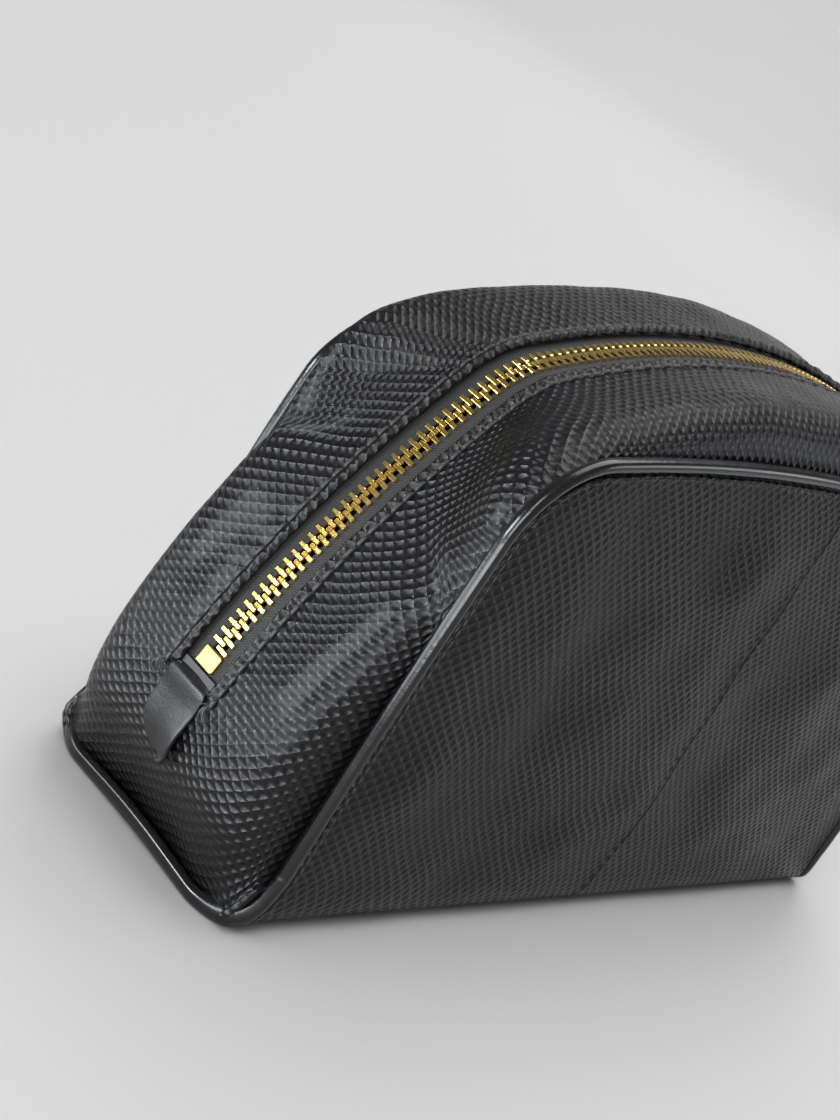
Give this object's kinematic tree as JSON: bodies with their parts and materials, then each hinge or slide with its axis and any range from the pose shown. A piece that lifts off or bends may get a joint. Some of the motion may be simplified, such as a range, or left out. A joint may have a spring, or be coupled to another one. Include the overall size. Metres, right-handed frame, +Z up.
{
  "type": "makeup bag",
  "caption": "Soft embossed-leather makeup bag with a domed outline, curved zip-top gusset, piped seams and a brass zip running down both ends.",
  "frame": {"origin": "middle of the flat base, on the surface that the bag stands on", "axes": "+X along the bag's length towards the end where the slider parks, -Y out of the front panel, +Z up"},
  "size_m": [0.2915, 0.0778, 0.1495],
  "materials": {
    "outer_leather": "embossed scale grain, semi-gloss",
    "tab_leather": "fine grain, satin",
    "piping_leather": "smooth, glossy",
    "piping_core": "twisted cord",
    "zip_tape": "woven herringbone, matte",
    "zip_brass": "polished",
    "thread": "twisted waxed thread",
    "interlining": "bonded felt",
    "lining": "plain weave"
  },
  "bodies": {
    "bag": {"body_panel_near": "outer_leather", "body_panel_far": "outer_leather", "gusset_panel": "outer_leather", "end_tab_far": "tab_leather", "slot_filler_near": "tab_leather", "slot_filler_far": "tab_leather", "piping_cover": "piping_leather", "piping_cord": "piping_core", "zip_tape_front": "zip_tape", "zip_tape_back": "zip_tape", "teeth_front": "zip_brass", "teeth_back": "zip_brass", "bottom_stop": "zip_brass", "top_stops": "zip_brass", "zip_stitching_front": "thread", "zip_stitching_back": "thread", "edge_stitching_front": "thread", "edge_stitching_back": "thread", "body_interlining_near": "interlining", "body_interlining_far": "interlining", "gusset_interlining": "interlining", "centre_seam_tape": "interlining", "body_lining": "lining", "gusset_lining": "lining"},
    "slider": {"slider_body": "zip_brass", "slider_bridge": "zip_brass"},
    "puller": {"pull_link": "zip_brass"},
    "pull_strap": {"pull_tab": "tab_leather"},
    "near_tongue": {"end_tab_near": "tab_leather"}
  },
  "joints": [
    {"name": "slider_travel", "type": "hinge", "parent": "bag", "child": "slider", "pos_m": [-0.09196, 0, -0.01388], "axis": [0, -1, 0], "range_deg": [0, 16]},
    {"name": "puller_swing", "type": "hinge", "parent": "slider", "child": "puller", "pos_m": [0.13696, 0, 0.05685], "axis": [0, -1, 0], "range_deg": [0, 120]},
    {"name": "strap_swing", "type": "hinge", "parent": "puller", "child": "pull_strap", "pos_m": [0.14021, 0, 0.04634], "axis": [0, -1, 0], "range_deg": [0, 70]},
    {"name": "near_tongue_lift", "type": "hinge", "parent": "bag", "child": "near_tongue", "pos_m": [-0.13806, 0, 0.04256], "axis": [0, 1, 0], "range_deg": [0, 70]}
  ]
}
